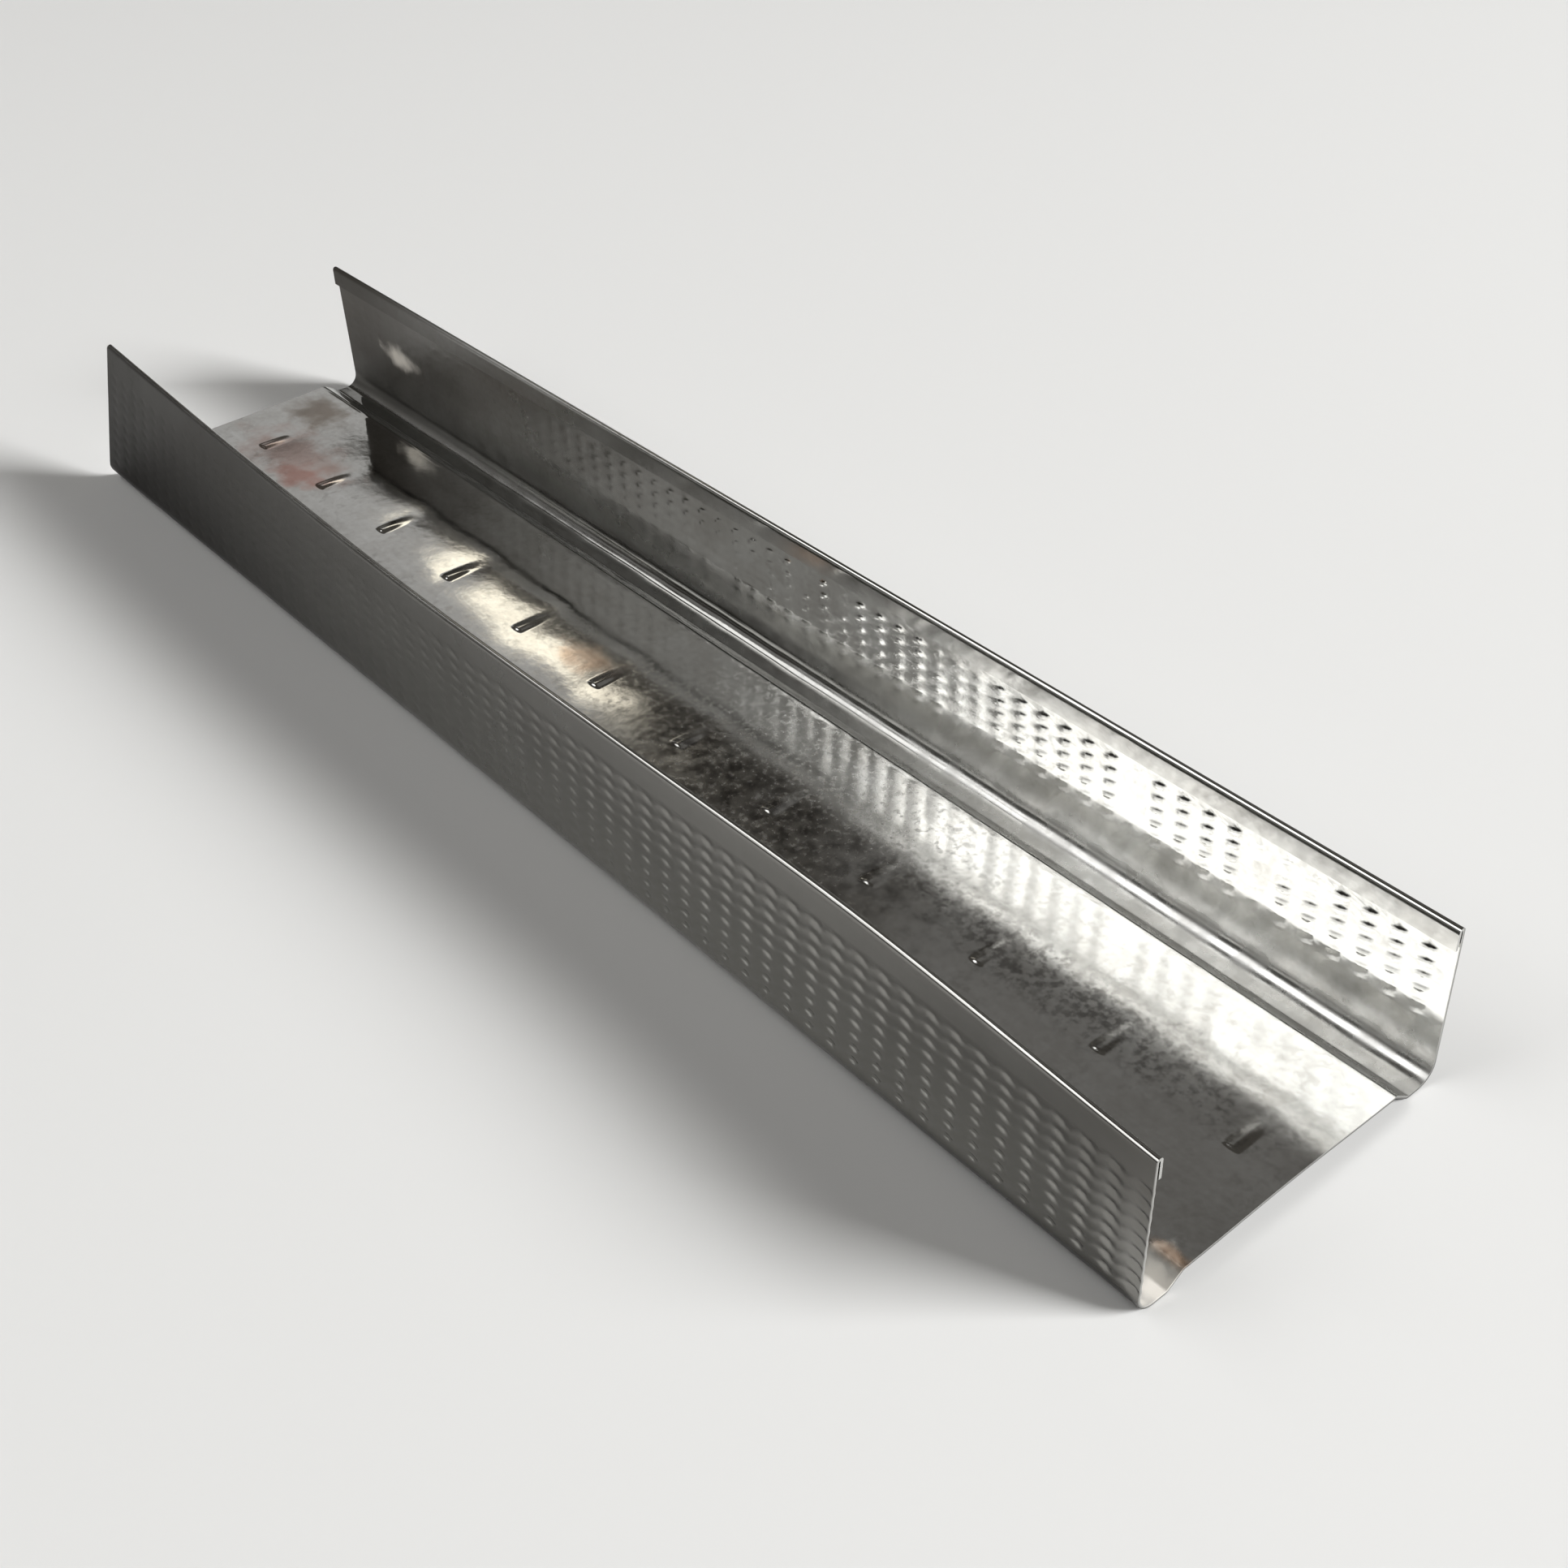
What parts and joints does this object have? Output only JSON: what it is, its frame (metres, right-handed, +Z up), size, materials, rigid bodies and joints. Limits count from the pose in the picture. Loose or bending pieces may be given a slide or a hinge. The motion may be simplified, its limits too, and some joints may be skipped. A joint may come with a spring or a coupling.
{
  "type": "drywall track",
  "caption": "U-shaped drywall track of thin galvanised sheet with hemmed flanges, beaded lower corners and a row of short ribs on its web, which seats the ends of wall studs.",
  "frame": {"origin": "under the middle of the track, level with the underside of the two corner beads that it rests on", "axes": "+X along the track, +Y across it, +Z up, the way the flanges stand"},
  "size_m": [0.3048, 0.0636, 0.03],
  "materials": {
    "zinc_coated_steel": "hot-dip galvanised, glossy, with faint spangle and handling marks"
  },
  "bodies": {
    "root": {"track": "zinc_coated_steel"}
  },
  "joints": []
}
